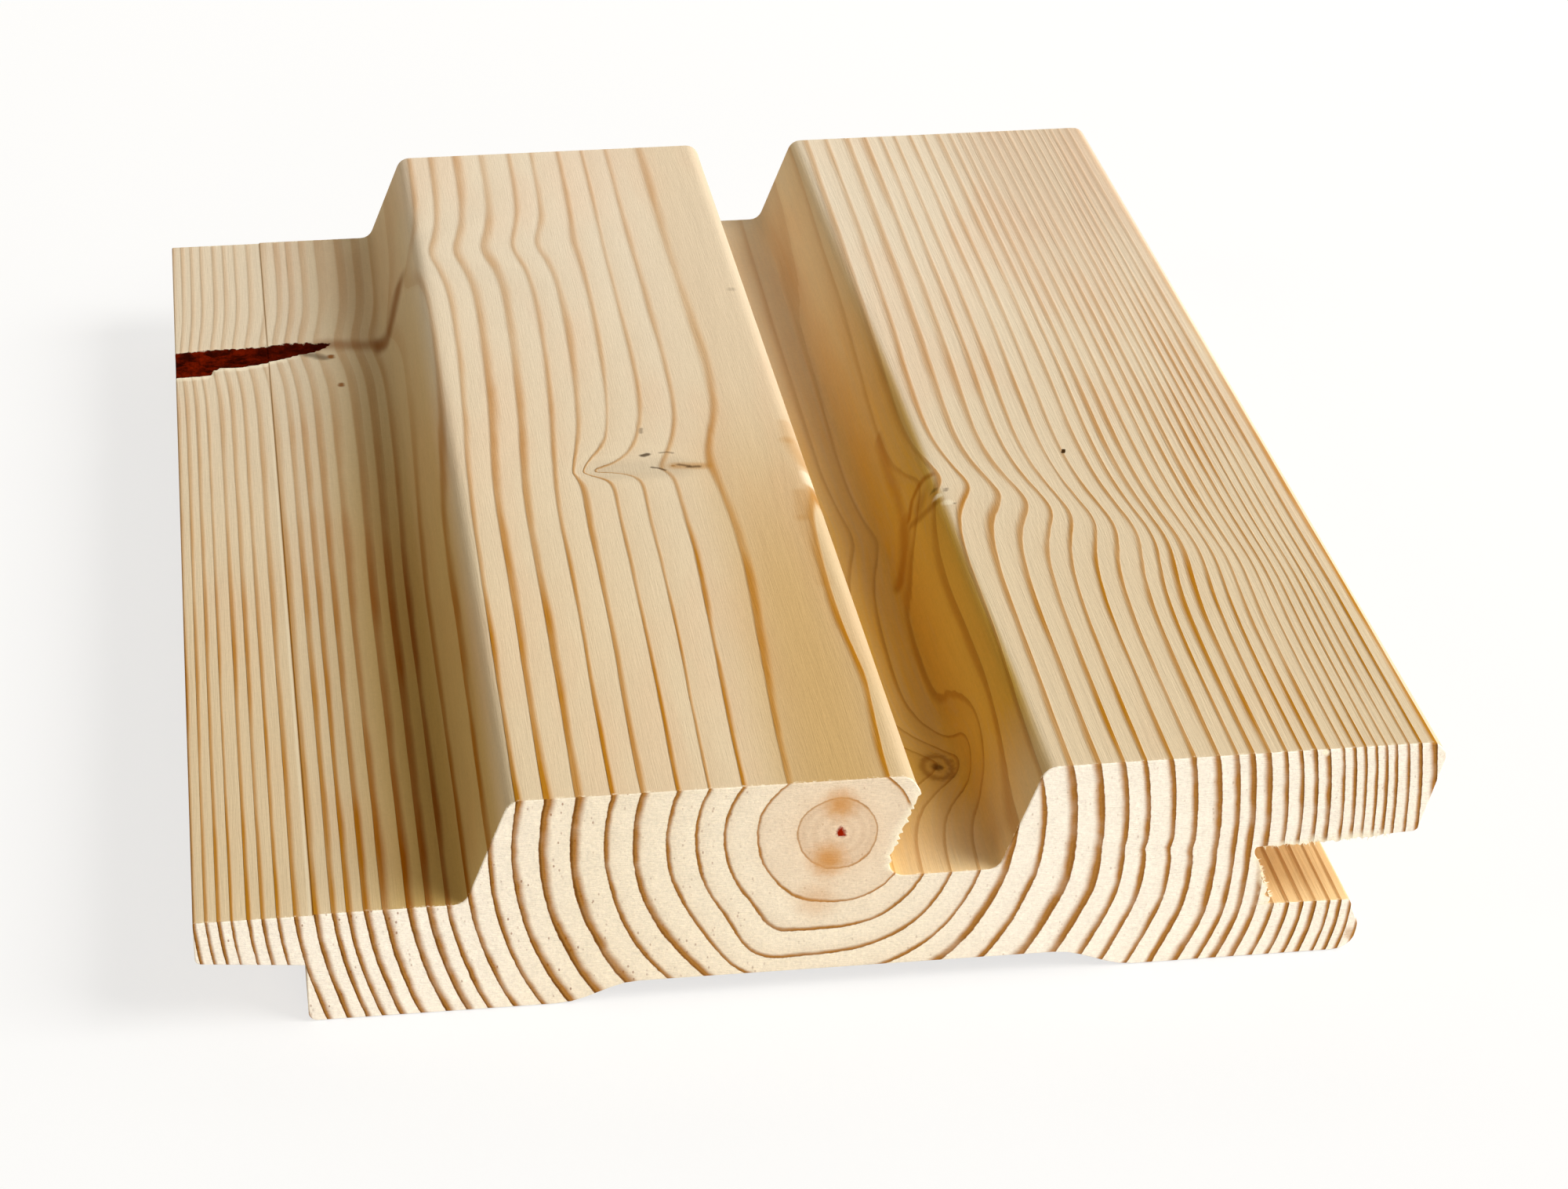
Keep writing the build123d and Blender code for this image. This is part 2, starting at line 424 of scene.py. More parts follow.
def section_corners(size):
    """The section's corners round the board: place, rounding, and pitch of the points that follow."""
    lean = math.tan(size.bevel)
    top = BOARD_HIGH[2]
    low = top - mm(size, "recess")
    flange = mm(size, "flange")
    land = mm(size, "land")
    run = mm(size, "recess") * lean
    first = flange + run
    second = first + land + mm(size, "groove")
    last = second + land
    width = BOARD_HIGH[0] - BOARD_LOW[0]
    root = width - mm(size, "upper_lip")
    floor = mm(size, "slot_floor")
    roof = mm(size, "slot_roof")
    mouth_floor = mm(size, "slot_floor_mouth")
    mouth_roof = mm(size, "slot_roof_mouth")
    lip_foot = last - (top - mouth_roof) * math.tan(size.lip_bevel)
    blunt = mm(size, "lower_round")
    nose = blunt / math.tan((math.pi / 2 - size.lower_bevel) / 2) - blunt
    nose_foot = root + mm(size, "lower_lip") + nose
    nose_top = nose_foot - mouth_floor * math.tan(size.lower_bevel)
    tongue = mm(size, "tongue")
    step = mm(size, "tongue_step")
    left = tongue + mm(size, "strip")
    right = left + mm(size, "relief")
    depth = mm(size, "relief_depth")
    flank = depth / math.tan(size.relief_slope)
    arris = mm(size, "arris")
    hollow = mm(size, "hollow")
    sweep = mm(size, "relief_round")
    slot_round = mm(size, "slot_round")
    return [
        (0, low - mm(size, "tongue_tip"), mm(size, "tongue_arris"), 1.0),
        (tongue, low - mm(size, "tongue_root"), 0, 0.9),
        (tongue, 0, mm(size, "back_arris"), 1.7),
        (left, 0, sweep, 1.2),
        (left + flank, depth, sweep, 1.8),
        (right - flank, depth, sweep, 1.2),
        (right, 0, sweep, 1.2),
        (BACK_SPLIT, 0, 0, 0.95),
        (nose_foot, 0, blunt, 0.8),
        (nose_top, mouth_floor, mm(size, "lower_arris"), 0.7),
        (root, floor, slot_round, 0.32),
        (root, (floor + roof) / 2, 0, 0.32),
        (root, roof, slot_round, 0.36),
        (lip_foot, mouth_roof, mm(size, "upper_round"), 0.8),
        (last, top, arris, 0.95),
        (LAND_SPLIT, top, 0, 0.95),
        (second, top, arris, 0.85),
        (second - run, low, hollow, 0.85),
        (first + land - run, low, hollow, 0.3),
        (first + land, top, arris, 0.95),
        (first, top, arris, 0.85),
        (flange, low, hollow, 0.9),
        (STEP_TOP, low, 0, 0.2),
        (STEP_FOOT, low - step, 0, 0.9),
        (0, low - step, mm(size, "tongue_top"), 0.9),
    ]


def outline(corners):
    """Points round the section. Each corner gives an arc of its rounding, and the straight run after it
    is divided at the corner's pitch."""
    place = np.array([c[:2] for c in corners], float)
    rounding = np.array([c[2] for c in corners], float)
    back = np.roll(place, 1, 0) - place
    ahead = np.roll(place, -1, 0) - place
    back /= np.linalg.norm(back, axis=1)[:, None]
    ahead /= np.linalg.norm(ahead, axis=1)[:, None]
    half = np.arccos(np.clip((back * ahead).sum(1), -1, 1)) / 2
    setback = rounding / np.tan(half)
    start = place + back * setback[:, None]
    end = place + ahead * setback[:, None]
    points = []
    for i, (_, _, radius, pitch) in enumerate(corners):
        after = (i + 1) % len(corners)
        if radius:
            inward = back[i] + ahead[i]
            centre = place[i] + inward / np.linalg.norm(inward) * radius / math.sin(half[i])
            first = np.arctan2(*(start[i] - centre)[::-1])
            sweep = math.radians(turn(math.degrees(np.arctan2(*(end[i] - centre)[::-1]) - first), 0))
            steps = max(2, math.ceil(abs(sweep) / ARC_STEP))
            angles = first + np.linspace(0, sweep, steps + 1)
            points.append(centre + radius * np.stack([np.cos(angles), np.sin(angles)], 1))
        else:
            points.append(place[i][None])
        run = np.linalg.norm(start[after] - end[i])
        steps = max(1, math.ceil(run / pitch))
        share = np.linspace(0, 1, steps + 1)[1:-1]
        points.append(end[i] + (start[after] - end[i]) * share[:, None])
    return np.concatenate(points)


def outward(points):
    """The outward direction at each point of a closed outline that runs anticlockwise."""
    along = np.roll(points, -1, 0) - np.roll(points, 1, 0)
    across = np.stack([along[:, 1], -along[:, 0]], 1)
    return across / np.linalg.norm(across, axis=1)[:, None]


def depth_inside(points, edge):
    """How far points lie inside a closed outline: the distance to its nearest side, below 0 outside."""
    side = np.roll(edge, -1, 0) - edge
    offset = points[:, None] - edge
    share = np.clip((offset * side).sum(-1) / (side ** 2).sum(-1), 0, 1)
    gap = np.linalg.norm(offset - share[..., None] * side, axis=-1).min(1)
    height = points[:, None, 1]
    spans = (edge[:, 1] <= height) != (np.roll(edge, -1, 0)[:, 1] <= height)
    rise = np.where(side[:, 1] == 0, 1, side[:, 1])
    meets = edge[:, 0] + offset[..., 1] / rise * side[:, 0]
    inside = (spans & (points[:, None, 0] < meets)).sum(1) % 2 == 1
    return np.where(inside, gap, -gap)


def end_fill(edge):
    """A flat fill of a closed outline: triangles by the Delaunay rule between the outline's points and
    a close-set field of points inside it. Returns the points and the triangles, anticlockwise."""
    low = edge.min(0)
    high = edge.max(0)
    rise = END_SPACING * math.sqrt(3) / 2
    across, up = np.meshgrid(np.arange(low[0], high[0], END_SPACING), np.arange(low[1], high[1], rise))
    across[1::2] += END_SPACING / 2
    field = np.stack([across, up], -1).reshape(-1, 2)
    field = field[depth_inside(field, edge) > 0.5 * END_SPACING]
    border = [list(range(len(edge)))]
    filled = delaunay_2d_cdt(np.concatenate([edge, field]).tolist(), [], border, 1, 1e-6)
    return np.array([point[:] for point in filled[0]]), np.array(filled[2])


def row_places(count, span):
    """Places of the rows along the board, closer together at the knots, the pocket and the ends."""
    y = np.linspace(0, span, 4281)
    close = [(90, 1.1, 7), (79, 0.9, 9), (27, 1.0, 7), (166, 1.5, 8), (0, 2.2, 2), (span, 1.2, 2)]
    density = 0.4 + sum(gain * bump(y - at, reach) for at, gain, reach in close)
    total = np.concatenate([[0], np.cumsum((density[1:] + density[:-1]) / 2)])
    return np.interp(np.linspace(0, total[-1], count), total, y)


def tearing(points):
    """The direction in which the saw tore each place of the outline out of the board, times how far it
    did so at most: on the undercut flank of the first land and on the root and roof of the slot."""
    x, z = points.T
    flank = (x > 78.5) & (x < 85) & (z > 14) & (z < 26.2)
    root = (x > 123.5) & (x < 124.3) & (z > 6.9) & (z < 14)
    roof = (x > 125) & (x < 141) & (z > 14) & (z < 15.6)
    reach = np.zeros((len(points), 2))
    fade = eased(z, 14.6, 16.6) * (1 - eased(z, 24.8, 26.0))
    reach[flank] = (0.6 * fade)[flank][:, None] * np.array([0.924, -0.383])
    lower = 0.2 + 0.8 * (13.4 - np.clip(z, 7.4, 13.4)) / 6.0
    fade = eased(z, 6.9, 7.05) * lower * (1 - eased(z, 12.8, 13.8))
    reach[root] = (2.4 * fade)[root][:, None] * np.array([1.0, 0.0])
    fade = eased(x, 125, 127) * (1 - eased(x, 136, 141))
    reach[roof] = (0.5 * fade)[roof][:, None] * np.array([0.0, -1.0])
    return reach


def board_rows(size):
    """The board's long faces as a grid of points: the rows are the section's outline carried along the
    length, with a narrow break at both sawn edges, torn places near them and the sunk bark pocket.
    Also returns how torn each point is."""
    points = outline(section_corners(size))
    ways = outward(points)
    columns = len(points)
    span = BOARD_SPAN
    edge = mm(size, "saw_bevel")
    y = row_places(ROW_COUNT, span - 2 * edge) + edge
    y = np.concatenate([[0], y, [span]])
    rng = np.random.default_rng(TEAR_SEED)
    tear = tearing(points)
    rows = np.repeat(points[None], len(y), 0)
    torn = np.zeros((len(y), columns))
    root = (points[:, 0] > 120) & (points[:, 1] < 14)
    for reach in (y, span - y):
        teeth = rng.random(columns)
        teeth = np.where(root, 0.75 + 0.25 * teeth, teeth ** 1.4)
        fall = np.exp(-reach / TEAR_REACH)[:, None]
        rows = rows + (teeth[:, None] * tear)[None] * fall[..., None]
        torn = torn + np.minimum(np.linalg.norm(tear, axis=1) * 3, 1) * fall
    rows[[0, -1]] -= ways * edge
    depth = np.repeat(y[:, None], columns, 1)
    across, up = rows[..., 0], rows[..., 1]
    on_top = (up > 13.5) & (across < 25)
    rough = 0.75 + 0.25 * np.sin(across * 2.9 + np.sin(depth * 2.3)) * np.sin(depth * 3.7 + across)
    sunk = POCKET_DEPTH * rough * eased(pocket_depth(across, depth), -0.1, 1.0)
    return np.stack([across, depth, up - np.where(on_top, sunk, 0)], -1), torn


def board_surface(size):
    """The whole board: its long faces and a flat fill at either sawn end. Returns the points, the faces
    and how torn each point is."""
    rows, torn = board_rows(size)
    count, columns, _ = rows.shape
    points = [rows.reshape(-1, 3)]
    faces = grid_faces(count, columns).tolist()
    total = count * columns
    torn_parts = [torn.ravel()]
    for edge, frayed, order in ((rows[0], torn[0], 1), (rows[-1], torn[-1], -1)):
        flat, triangles = end_fill(edge[:, [0, 2]])
        points.append(np.stack([flat[:, 0], np.full(len(flat), edge[0, 1]), flat[:, 1]], 1))
        faces += (triangles[:, ::order] + total).tolist()
        total += len(flat)
        gaps = np.linalg.norm(flat[:, None] - edge[frayed > 0.3][:, [0, 2]], axis=-1).min(1)
        torn_parts.append(bump(gaps, 0.35))
    return np.concatenate(points), faces, np.concatenate(torn_parts)


def strands(roots, ways, lengths, girths, curls):
    """Torn fibres: each is a thin tube whose middle line leaves its root along its way and bends by its
    curl times the square of the distance. The tube swells quickly and tapers to a point."""
    share = np.linspace(0, 1, STRAND_STATIONS)
    turns = np.linspace(0, 2 * math.pi, STRAND_SIDES, endpoint=False)
    reach = lengths[:, None, None] * share[None, :, None]
    middle = roots[:, None] + ways[:, None] * reach + curls[:, None] * reach * share[None, :, None]
    beside = np.cross(ways, np.array([0.3, 0.5, 0.8]))
    beside /= np.linalg.norm(beside, axis=1)[:, None]
    above = np.cross(ways, beside)
    swell = np.minimum(share * 6, 1) * (1 - share) ** 0.8
    ring = np.cos(turns)[None, :, None] * beside[:, None] + np.sin(turns)[None, :, None] * above[:, None]
    offset = (girths[:, None] * swell)[:, :, None, None] * ring[:, None]
    tips = np.broadcast_to(share[None, :, None], offset.shape[:3])
    return middle[:, :, None] + offset, tips


def fibre_roots(rng, span):
    """Roots, ways, lengths and girths of the torn fibres at both sawn ends: on the undercut flank of the
    first land and its foot, and on the root and roof of the slot."""
    kept = []
    for at_end, share in ((0.0, 1.0), (span, 0.6)):
        into = 1.0 if at_end == 0 else -1.0
        for start, end, way, number, short, long, thick in FIBRES:
            number = int(number * share)
            t = rng.random(number)[:, None]
            flat = np.array(start) * (1 - t) + np.array(end) * t - 0.06 * np.array(way)
            deep = at_end + into * (0.15 + 0.5 * rng.random(number) ** 2)
            roots = np.stack([flat[:, 0], deep, flat[:, 1]], 1)
            aim = np.array([way[0], 0.0, way[1]]) + rng.normal(0, 0.35, (number, 3))
            aim[:, 1] = into * np.abs(aim[:, 1]) * 0.5
            ways = aim / np.linalg.norm(aim, axis=1)[:, None]
            lengths = short + (long - short) * rng.random(number) ** 1.6
            girths = thick * rng.uniform(0.4, 1.0, number)
            kept.append((roots, ways, lengths, girths))
    return [np.concatenate(part) for part in zip(*kept)]


def grid_faces(rows, columns):
    """Quads of a grid that is closed round its columns, facing out where the columns run anticlockwise
    in x and z and the rows run along y."""
    index = np.arange(rows * columns).reshape(rows, columns)
    beside = np.roll(index, -1, 1)
    return np.stack([index[:-1], index[1:], beside[1:], beside[:-1]], -1).reshape(-1, 4)


def to_frame(wood):
    """Points in the wood's millimetres as points in the frame's metres."""
    return (wood + np.array([BOARD_LOW[0], BOARD_LOW[1], 0])) * MM


def to_wood(points):
    """Points in the frame's metres as points in the wood's millimetres."""
    return points / MM - np.array([BOARD_LOW[0], BOARD_LOW[1], 0])


def write_numbers(mesh, name, values):
    """Stores a number for each point of a mesh."""
    mesh.attributes.new(name, "FLOAT", "POINT").data.foreach_set("value", values.astype(np.float32))


def add_piece(context, name, points, faces, materials, numbers):
    """A mesh object at the origin with a number or more for each point, its doubled points merged."""
    mesh = bpy.data.meshes.new(name)
    mesh.from_pydata(points, [], faces)
    for label, values in numbers.items():
        write_numbers(mesh, label, values)
    work = bmesh.new()
    work.from_mesh(mesh)
    bmesh.ops.remove_doubles(work, verts=work.verts[:], dist=1e-7)
    work.to_mesh(mesh)
    work.free()
    for material in materials:
        mesh.materials.append(material)
    mesh.shade_smooth()
    mesh.set_sharp_from_angle(angle=SHARP)
    piece = bpy.data.objects.new(name, mesh)
    context.scene.collection.objects.link(piece)
    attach(piece, BODY)
    return piece


def operation(kind, swapped=False):
    """A method of Value that adds a Math node of one kind, with its terms swapped in a reflected form."""

    def method(self, *others):
        terms = (*others, self) if swapped else (self, *others)
        node = self.finish.add("ShaderNodeMath", {"operation": kind}, dict(enumerate(terms)))
        return Value(self.finish, node.outputs[0])

    return method


class Value:
    """A number that changes over a surface. Arithmetic on it adds Math nodes."""

    def __init__(self, finish, socket):
        self.finish = finish
        self.socket = socket

    __add__ = operation("ADD")
    __radd__ = operation("ADD", True)
    __sub__ = operation("SUBTRACT")
    __rsub__ = operation("SUBTRACT", True)
    __mul__ = operation("MULTIPLY")
    __rmul__ = operation("MULTIPLY", True)
    __truediv__ = operation("DIVIDE")
    __pow__ = operation("POWER")
    fraction = operation("FRACT")
    root = operation("SQRT")
    size = operation("ABSOLUTE")
    wave = operation("SINE")
    least = operation("MINIMUM")
    most = operation("MAXIMUM")


class Finish:
    """The nodes that make a material, or the world."""

    def __init__(self, owner, output="ShaderNodeOutputMaterial"):
        self.owner = owner
        self.owner.use_nodes = True
        self.nodes = owner.node_tree.nodes
        self.links = owner.node_tree.links
        self.nodes.clear()
        self.output = self.add(output)

    def add(self, kind, settings=None, sockets=None):
        """One node: its settings first, then the values or links of its sockets."""
        node = self.nodes.new(kind)
        for name, setting in (settings or {}).items():
            setattr(node, name, setting)
        for key, value in (sockets or {}).items():
            if isinstance(value, Value):
                value = value.socket
            if isinstance(value, bpy.types.NodeSocket):
                self.links.new(value, node.inputs[key])
            else:
                node.inputs[key].default_value = value
        return node

    def place(self):
        """The wood's own coordinates in millimetres, from Object coordinates."""
        held = self.add("ShaderNodeTexCoord").outputs["Object"]
        split = self.add("ShaderNodeSeparateXYZ", None, {0: held})
        x, y, z = (Value(self, socket) for socket in split.outputs)
        return x / MM - BOARD_LOW[0], y / MM - BOARD_LOW[1], z / MM

    def reading(self, name):
        """A number stored on the mesh."""
        return Value(self, self.add("ShaderNodeAttribute", {"attribute_name": name}).outputs["Fac"])

    def point(self, x, y, z):
        """A vector put together from three values."""
        return self.add("ShaderNodeCombineXYZ", None, {0: x, 1: y, 2: z}).outputs[0]

    def noise(self, vector, detail, roughness=0.5):
        """Smooth noise about 0, from -0.5 to 0.5."""
        sockets = {"Vector": vector, "Scale": 1.0, "Detail": detail, "Roughness": roughness}
        return Value(self, self.add("ShaderNodeTexNoise", None, sockets).outputs["Fac"]) - 0.5

    def cells(self, vector):
        """The distance to the nearest of scattered points, and a number for that point."""
        node = self.add("ShaderNodeTexVoronoi", {"feature": "F1"}, {"Vector": vector, "Scale": 1.0})
        own = self.add("ShaderNodeSeparateColor", None, {0: node.outputs["Color"]})
        return Value(self, node.outputs["Distance"]), Value(self, own.outputs[0])

    def eased(self, value, low, high, start=0.0, end=1.0):
        """An S-shaped change from start at low to end at high."""
        sockets = {"Value": value, "From Min": low, "From Max": high, "To Min": start, "To Max": end}
        node = self.add("ShaderNodeMapRange", {"interpolation_type": "SMOOTHSTEP"}, sockets)
        return Value(self, node.outputs["Result"])

    def mix(self, share, under, over, way="MIX"):
        """One colour over another."""
        settings = {"data_type": "RGBA", "blend_type": way, "clamp_factor": True}
        colours = [c if isinstance(c, bpy.types.NodeSocket) else (*c, 1.0) for c in (under, over)]
        return self.add("ShaderNodeMix", settings, {0: share, 6: colours[0], 7: colours[1]}).outputs[2]

    def stroke(self, a, b, places):
        """The distance to a broken line through places in the plane of a and b."""
        nearest = None
        for start, end in zip(places, places[1:] or places):
            run = math.hypot(end[0] - start[0], end[1] - start[1])
            ua, ub = ((end[0] - start[0]) / run, (end[1] - start[1]) / run) if run else (1.0, 0.0)
            along = a * ua + b * ub - (start[0] * ua + start[1] * ub)
            across = a * ub - b * ua - (start[0] * ub - start[1] * ua)
            past = along - along.most(0.0).least(run)
            gap = (past * past + across * across).root()
            nearest = gap if nearest is None else nearest.least(gap)
        return nearest

    def shade(self, under, factor):
        """A colour made lighter or darker by a number."""
        node = self.add("ShaderNodeVectorMath", {"operation": "SCALE"}, {0: under, "Scale": factor})
        return node.outputs[0]

    def show(self, shader):
        """Links a shader to the output and returns what it was made for."""
        self.links.new(shader.outputs[0], self.output.inputs["Surface"])
        return self.owner

    def shown(self, seen, under, over):
        """One shader where the surface only lights others, another where a share of it is seen."""
        path = self.add("ShaderNodeLightPath").outputs
        rays = Value(self, path["Is Camera Ray"]).most(Value(self, path["Is Glossy Ray"]))
        rays = rays.most(Value(self, path["Is Transmission Ray"]))
        sockets = {0: rays * seen, 1: under.outputs[0], 2: over.outputs[0]}
        return self.add("ShaderNodeMixShader", None, sockets)

    def close(self, base, roughness, height, depth):
        """The surface shader of bare wood, which has no sheen, with its bump."""
        bent = self.add("ShaderNodeBump", None, {"Strength": 1.0, "Distance": depth, "Height": height})
        sockets = {"Base Color": base, "Roughness": roughness, "Normal": bent.outputs[0]}
        sockets["Specular IOR Level"] = 0.0
        return self.show(self.add("ShaderNodeBsdfPrincipled", None, sockets))


def wood_values(f):
    """The readings and noises that the softwood's layers share. The stored ring number, shaken a little,
    gives the place in the ring: 0 just outside one ring's latewood, 1 at the outer edge of the next."""
    w = SimpleNamespace()
    w.x, w.y, w.z = x, y, z = f.place()
    w.ring = f.reading("ring")
    w.share = f.reading("late_share")
    w.pocket = f.reading("pocket")
    w.torn = f.reading("torn")
    wander = f.noise(f.point(x * 0.15, y * 0.018, z * 0.15), 2)
    tremble = f.noise(f.point(x * 1.2, y * 0.05, z * 1.2), 3)
    number = w.ring + wander * 0.12 + tremble * 0.07
    place = number - w.share * 0.5
    w.phase = place.fraction()
    beside = (place + 0.5).fraction() - 0.5
    w.streak = f.noise(f.point(w.ring * 3.2 + x * 0.7, y * 0.03, z * 0.7), 5, 0.6)
    w.fibre = f.noise(f.point(x * 6.0, y * 0.16, z * 6.0), 3, 0.6)
    w.patchy = f.noise(f.point(x * 0.2, y * 0.03, z * 0.2), 2)
    w.drift = f.noise(f.point(x * 0.03, y * 0.014, z * 0.03 + 7), 2)
    w.grit = f.noise(f.point(x * 2.4, y * 1.5, z * 2.4), 3, 0.7)
    w.rough = f.noise(f.point(x * 1.3, y * 1.3, z * 1.3), 4, 0.6)
    w.mottle = f.noise(f.point(x * 0.35, y * 0.3, z * 0.35), 3)
    w.dash = f.noise(f.point(x * 0.9, y, z * 7.5), 4, 0.6)
    drop = 1 - f.eased(w.phase, 0.97, 1.0)
    faint = f.eased(w.ring, 0.3, 1.6, 0.6, 1.0)
    strong = faint * (0.9 + w.patchy * 1.1 + w.streak * 0.6)
    spread = 1 + w.patchy * 1.1 + w.streak * 0.5
    flange = 1 - f.eased(x, 28, 34)
    planed = w.share * spread * (0.9 + 0.75 * (1 - f.eased(w.ring, 2.3, 3.3)) + flange * 0.3)
    blur = f.eased(y, 30, 170, 1.0, 1.45)
    soft = f.eased(y, 30, 170, 0.02, 0.11)
    outer = 1 - f.eased(beside, 0 - soft, soft)
    w.line = f.eased(beside, planed * blur * -1.55, planed * -0.45) * outer * strong
    sawn = w.share * (1 + w.patchy * 0.8)
    strong = faint * (1.0 + w.patchy * 0.7 + w.mottle * 0.4)
    w.band = f.eased(w.phase, 1 - sawn * 1.9, 1 - sawn * 0.6) * drop * strong
    w.edge = f.eased(w.phase, 1 - sawn * 0.6, 1 - sawn * 0.2) * drop * strong
    return w


def planed_faces(f, tints, w):
    """Colour of the planed faces: earlywood that darkens gently towards each latewood line and turns paler
    towards the far end as a painted sheen, browner wood near the pith, amber wood in the face groove that
    is partly resin stain and partly painted light, painted shade on the flange beside the first land's
    slope and on that slope, painted light and shade in the groove, painted light in the slot, a second land
    darkened as painted shade, streaks along the grain, pale fuzz at the sawn edges, and the line beside the
    tongue with a painted highlight."""
    heart = (1 - f.eased(w.ring, 1.2, 3.2)) * f.eased(w.y, 45, 125, 1.0, 0.2)
    below = (1 - f.eased(w.z, 16, 20)).most(f.eased(w.x, 90, 92))
    slope = f.eased(w.x, 91.5, 93.5) * (1 - f.eased(w.x, 98.6, 99.8))
    groove = f.eased(w.x, 77, 79.5) * (1 - f.eased(w.x, 98.6, 99.8)) * below * f.eased(w.z, 10, 13)
    # Share of the amber wood, partly resin stain and partly painted light, weaker right at the sawn end and
    # towards the far end
    mixed = groove * (0.86 + slope * 0.19 + w.streak * 0.6 + w.patchy * 0.4)
    amber = mixed * f.eased(w.y, 60, 190, 1.0, 0.2) * f.eased(w.y, 2, 26, 0.35, 1.0)
    # Painted sheen: earlywood paler towards the far end
    early = f.mix(f.eased(w.y, 20, 190), tints.early, tints.early_far_sheen)
    early = f.mix(amber, f.mix(heart, early, tints.heart), tints.amber)
    level = 1 - f.eased(w.z, 14.2, 16)
    # Painted shade along the flange by the foot of the first land's slope: its latewood lines drawn in the
    # amber latewood colour, and a second layer of the shade tint, both fading towards the far end
    foot = f.eased(w.x, 15, 28) * (1 - f.eased(w.x, 31, 33)) * level * f.eased(w.y, 70, 170, 1.0, 0.15)
    late = f.mix(amber.most(foot), tints.late, tints.amber_late)
    base = f.mix(w.phase ** 2 * 0.16, early, late)
    first = f.eased(w.x, 30, 31.5) * (1 - f.eased(w.x, 35.5, 36.8)) * f.eased(w.y, 100, 140)
    lip = f.eased(w.x, 117, 131) * f.eased(w.y, 120, 195)
    flange = (1 - f.eased(w.x, 28, 32)) * f.eased(w.y, 120, 180)
    quiet = (1 - first * 0.7) * (1 - groove * 0.5) * (1 - lip * 0.6) * (1 - flange * 0.45)
    base = f.mix(w.line * f.eased(w.y, 10, 170, 0.95, 0.46) * quiet, base, late)
    base = f.mix(lip * 0.36, base, tints.far_edge)
    blush = f.eased(w.patchy * 0.7 + w.drift, -0.05, 0.2)
    base = f.mix(blush * 0.4, base, f.mix(1.0, base, tints.blush, "MULTIPLY"))
    grain = w.streak * 0.12 + w.fibre * 0.13 + w.drift * 0.08 + w.grit * 0.16
    far = f.eased(w.y, 100, 195)
    # Painted shade: the second land a little darker, most towards the near end, and darker beside the upper
    # lip towards the far end
    outer = f.eased(w.x, 98, 103) * (far - 1) * 0.035 - lip * 0.04
    # Painted light and shade in the face groove: its second slope darker at the near end and lighter at the
    # far end, and its floor paler right at the sawn end and from the middle on, where light reaches in
    bottom = (groove - slope).most(0.0)
    painted_floor_light = f.eased(w.y, 4, 26, 0.14, 0.02) + f.eased(w.y, 30, 60) * 0.1
    recess = slope * (far * 0.17 - 0.12) + bottom * painted_floor_light
    base = f.shade(base, 1 + grain + outer + recess)
    # Painted shade: the flange grows darker and warmer towards the foot of the first land's slope, and the
    # slope with it, less so towards the far end
    low = (1 - f.eased(w.x, 34.5, 36.5)) * (1 - f.eased(w.z, 25.8, 26.8)) * f.eased(w.z, 9, 12)
    warm = low * f.eased(w.x, 16, 29, 0.15, 0.95) * f.eased(w.y, 60, 200, 1.0, 0.35)
    base = f.mix(warm, base, f.mix(1.0, base, tints.painted_shade, "MULTIPLY"))
    # Second layer of painted shade by the foot of the first land's slope
    base = f.mix(foot * 0.6, base, f.mix(1.0, base, tints.painted_shade, "MULTIPLY"))
    # Painted light inside the slot: paler wood on its floor, root and roof, where the lips shade it
    slotted = f.eased(w.x, 123, 124) * (1 - f.eased(w.z, 14.8, 15.6)) * f.eased(w.z, 5.0, 6.4)
    painted_slot_wood = f.mix(w.line * 0.6, tints.painted_slot_tint, tints.amber_late)
    base = f.mix(slotted * 0.9, base, f.shade(painted_slot_wood, 1 + grain))
    from_end = w.y.least(BOARD_SPAN - w.y)
    ragged = (1 - f.eased(from_end, 0.1, 0.7)) * f.eased(w.grit + w.rough * 0.6, 0.0, 0.2)
    base = f.mix(ragged * 0.7, base, tints.torn)
    beside = w.x - STEP_LINE
    tongue = (1 - f.eased(w.z, 14.5, 15.5)) * f.eased(w.y, 70, 180, 1.0, 0.3)
    # Painted highlight: a pale strip on the left of the tongue's step. The layer after it is the cutter's
    # darker line at the step.
    base = f.mix((1 - f.eased((beside - 0.1).size(), 0.1, 0.35)) * 0.3 * tongue, base, tints.torn)
    base = f.mix((1 - f.eased((beside - 0.42).size(), 0.06, 0.22)) * 0.75 * tongue, base, tints.late)
    return base


